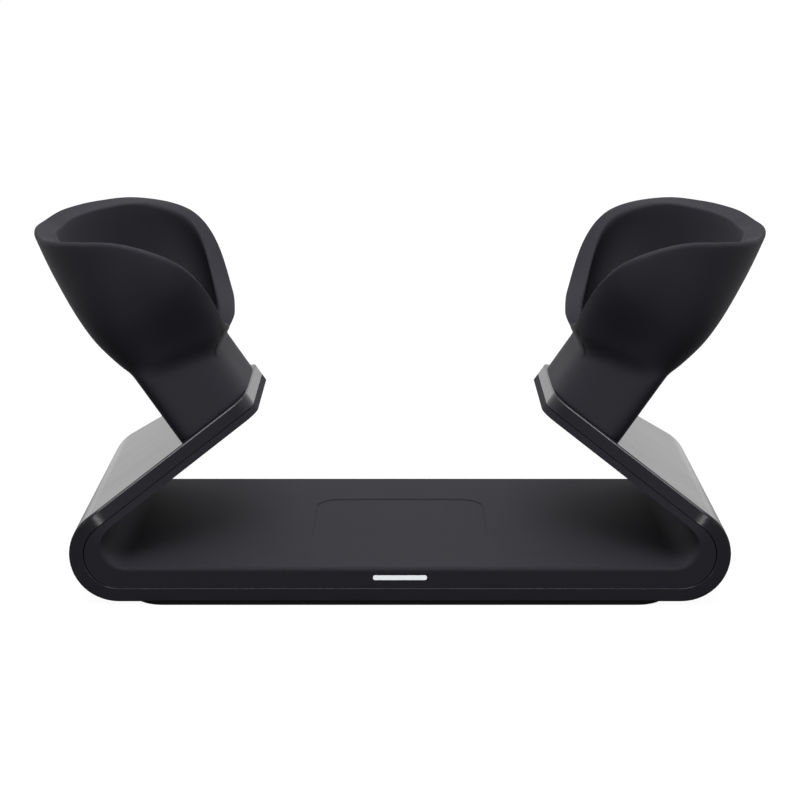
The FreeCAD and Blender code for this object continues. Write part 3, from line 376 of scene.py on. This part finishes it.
def holderRings():
    count, soft, wall = holder["ringPoints"], holder["rimRound"], holder["wall"]
    turns = [2 * pi * k / count for k in range(count)]
    topOut = [rimLevel(turn, 0) for turn in turns]
    topIn = [rimLevel(turn, wall) for turn in turns]
    dropOut = roundDrops(turns, topOut, 0)
    dropIn = roundDrops(turns, topIn, wall)
    startIn = [top - drop for top, drop in zip(topIn, dropIn)]
    ends = [cavityEnd(turn, start) for turn, start in zip(turns, startIn)]
    rings = []

    def addRing(pointAt):
        rings.append([pointAt(k, turn) for k, turn in enumerate(turns)])

    def atLevel(turn, level, inset):
        return (*wallPoint(level, turn, inset), level)

    def inCavity(turn, level):
        return atLevel(turn, level, cavityInset(level))

    quarters = [pi / 2 * k / holder["roundRings"] for k in range(holder["roundRings"] + 1)]
    foot = holder["footRound"]
    for angle in quarters:
        addRing(lambda k, turn: atLevel(turn, foot * (1 - cos(angle)), foot * (1 - sin(angle))))
    for step in range(1, holder["outsideRings"] + 1):
        share = step / holder["outsideRings"]
        addRing(lambda k, turn: atLevel(turn, foot + (topOut[k] - dropOut[k] - foot) * share, 0))
    for angle in quarters[1:]:
        addRing(lambda k, turn: atLevel(turn, topOut[k] - dropOut[k] * (1 - sin(angle)),
                                        soft * (1 - cos(angle))))
    for angle in quarters:
        addRing(lambda k, turn: atLevel(turn, topIn[k] - dropIn[k] * (1 - cos(angle)),
                                        wall - soft * (1 - sin(angle))))
    for step in range(1, holder["insideRings"] + 1):
        share = (1 - step / holder["insideRings"]) ** 2
        addRing(lambda k, turn: inCavity(turn, ends[k] + (startIn[k] - ends[k]) * share))
    under = holder["floor"] - holder["floorThick"]
    edge = [(*windowPoint(x, y), level) for x, y, level in rings[-1]]
    rings.append(edge)
    rings.append([(x, y, under) for x, y, level in edge])
    for level in (under, 0):
        addRing(lambda k, turn: (*sectionPoint(holder["stem"], turn, holder["stemWall"]), level))
    return rings


# from the arm's face in mm to the stand in metres
def onArm(point):
    slope = radians(holder["slope"])
    x, y, level = point
    return Vector((holder["armX"] + x * cos(slope) - level * sin(slope), y,
                   holder["armZ"] + x * sin(slope) + level * cos(slope))) / 1000


# the grid's last row and column land on its first ones, and the merge closes the shell there
def makeHolder(name, mirrored):
    rings = holderRings()
    count = holder["ringPoints"]
    bm = bmesh.new()
    bmesh.ops.create_grid(bm, x_segments=count, y_segments=len(rings), size=1)
    for k, vert in enumerate(bm.verts):
        vert.co = onArm(rings[k // (count + 1) % len(rings)][k % (count + 1) % count])
    bmesh.ops.remove_doubles(bm, verts=bm.verts, dist=mergeGap)
    if mirrored:
        bmesh.ops.scale(bm, vec=(-1, 1, 1), verts=bm.verts)
    bmesh.ops.recalc_face_normals(bm, faces=bm.faces)
    return makePiece(bm, name, holderPlastic)


for side in ("left", "right"):
    shell = makeHolder(side + "HolderShell", side == "right")
    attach(shell, "stand")
    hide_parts(side + "_holder")
print("holders shaped")


# springs: each coil is a copy of its solid with the seams merged, shown in place of the node
for joint in frame["joints"]:
    node = nodes[joint["child"].replace("_pin", "_spring")]
    bm = bmesh.new()
    bm.from_mesh(node.data)
    bmesh.ops.remove_doubles(bm, verts=bm.verts, dist=mergeGap)
    coil = makePiece(bm, node.name + "_coil", springSteel)
    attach(coil, "stand")
    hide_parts(node.name)
    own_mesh(coil)


# floor, light and camera

stageSet = {
    "floorSize": 16.0, "floorPale": 0.9, "floorBounce": 0.06, "floorWhite": 0.92, "floorGlow": 1.04,
    # how white the floor is in reflections, from near to far along Y
    "mirrorSpan": (0.02, 0.25), "mirror": (0.03, 1.0),
    # strength of the room's light, from low in front to high behind
    "roomTilt": 1.0, "roomSpan": (-0.5, 1.0), "room": (0.25, 1.1),
    "aim": (0, 0, 0.06),
}
lamps = {
    "topBox": {"place": (0, 0.05, 1.3), "size": (1.2, 1.2), "watts": 7.0},
    "frontBox": {"place": (0, -0.45, 0.75), "size": (0.4, 0.4), "watts": 4.6},
    "leftBox": {"place": (-0.38, -1.2, 0.13), "size": (0.3, 0.05), "watts": 0.9},
    "rightBox": {"place": (0.38, -1.2, 0.13), "size": (0.3, 0.05), "watts": 0.9},
}
photoCamera = {"lens": 98.65, "sensor": 36, "far": 100, "place": (0, -0.7560, 0.2297), "tilt": 77.15}


# white to the camera with a share of the shadow; in reflections dim near the stand and white far behind it
def makeFloorPaper():
    mat = bpy.data.materials.new("floorPaper")
    mat.use_nodes = True
    mat.node_tree.nodes.clear()
    links = mat.node_tree.links
    out = addNode(mat, "ShaderNodeOutputMaterial")
    paper = addNode(mat, "ShaderNodeBsdfDiffuse")
    white = addNode(mat, "ShaderNodeEmission", Strength=stageSet["floorGlow"])
    mix = addNode(mat, "ShaderNodeMixShader")
    path = addNode(mat, "ShaderNodeLightPath")
    tone = addNode(mat, "ShaderNodeMix", data_type="RGBA")
    tone.inputs["A"].default_value = (*[stageSet["floorBounce"]] * 3, 1)
    tone.inputs["B"].default_value = (*[stageSet["floorPale"]] * 3, 1)
    links.new(path.outputs["Is Camera Ray"], tone.inputs["Factor"])
    links.new(tone.outputs["Result"], paper.inputs["Color"])
    fade = mapRange(mat, axisParts(mat, "Object")["Y"], stageSet["mirrorSpan"], stageSet["mirror"])
    mirrored = addNode(mat, "ShaderNodeMath", operation="MULTIPLY")
    links.new(fade, mirrored.inputs[0])
    links.new(path.outputs["Is Glossy Ray"], mirrored.inputs[1])
    seen = addNode(mat, "ShaderNodeMath", operation="MULTIPLY")
    seen.inputs[1].default_value = stageSet["floorWhite"]
    links.new(path.outputs["Is Camera Ray"], seen.inputs[0])
    share = addNode(mat, "ShaderNodeMath", operation="MAXIMUM")
    links.new(seen.outputs[0], share.inputs[0])
    links.new(mirrored.outputs[0], share.inputs[1])
    links.new(share.outputs[0], mix.inputs["Fac"])
    links.new(paper.outputs[0], mix.inputs[1])
    links.new(white.outputs[0], mix.inputs[2])
    links.new(mix.outputs[0], out.inputs["Surface"])
    return mat


def makeFloor():
    bm = bmesh.new()
    bmesh.ops.create_grid(bm, x_segments=1, y_segments=1, size=stageSet["floorSize"] / 2)
    mesh = bpy.data.meshes.new("studioFloor")
    bm.to_mesh(mesh)
    bm.free()
    mesh.materials.append(makeFloorPaper())
    floor = bpy.data.objects.new("studioFloor", mesh)
    bpy.context.scene.collection.objects.link(floor)


# room light from above and behind, dim low in front; past the floor the camera sees a plain pale sky
def makeWorld():
    world = bpy.data.worlds.new("studio")
    bpy.context.scene.world = world
    world.use_nodes = True
    world.node_tree.nodes.clear()
    links = world.node_tree.links
    out = addNode(world, "ShaderNodeOutputWorld")
    sky = addNode(world, "ShaderNodeBackground")
    room = addNode(world, "ShaderNodeBackground")
    mix = addNode(world, "ShaderNodeMixShader")
    path = addNode(world, "ShaderNodeLightPath")
    parts = axisParts(world, "Generated")
    height = addNode(world, "ShaderNodeMath", operation="MULTIPLY_ADD")
    height.inputs[1].default_value = stageSet["roomTilt"]
    links.new(parts["Z"], height.inputs[0])
    links.new(parts["Y"], height.inputs[2])
    glow = mapRange(world, height.outputs[0], stageSet["roomSpan"], stageSet["room"],
                    interpolation_type="SMOOTHSTEP")
    links.new(glow, room.inputs["Strength"])
    links.new(path.outputs["Is Camera Ray"], mix.inputs["Fac"])
    links.new(room.outputs[0], mix.inputs[1])
    links.new(sky.outputs[0], mix.inputs[2])
    links.new(mix.outputs[0], out.inputs["Surface"])


def addArea(name, place, size, watts):
    lamp = bpy.data.lights.new(name, "AREA")
    lamp.shape = "RECTANGLE"
    lamp.size, lamp.size_y = size
    lamp.energy = watts
    obj = bpy.data.objects.new(name, lamp)
    obj.location = place
    obj.rotation_euler = (Vector(stageSet["aim"]) - Vector(place)).to_track_quat("-Z", "Y").to_euler()
    bpy.context.scene.collection.objects.link(obj)


def addCamera():
    data = bpy.data.cameras.new("photoCamera")
    data.lens = photoCamera["lens"]
    data.sensor_width = photoCamera["sensor"]
    data.clip_end = photoCamera["far"]
    camera = bpy.data.objects.new("photoCamera", data)
    camera.location = photoCamera["place"]
    camera.rotation_euler = (radians(photoCamera["tilt"]), 0, 0)
    bpy.context.scene.collection.objects.link(camera)
    bpy.context.scene.camera = camera


makeFloor()
makeWorld()
for name, lamp in lamps.items():
    addArea(name, **lamp)
addCamera()
bpy.context.scene.view_settings.view_transform = "Standard"
print("stage, light and camera set")
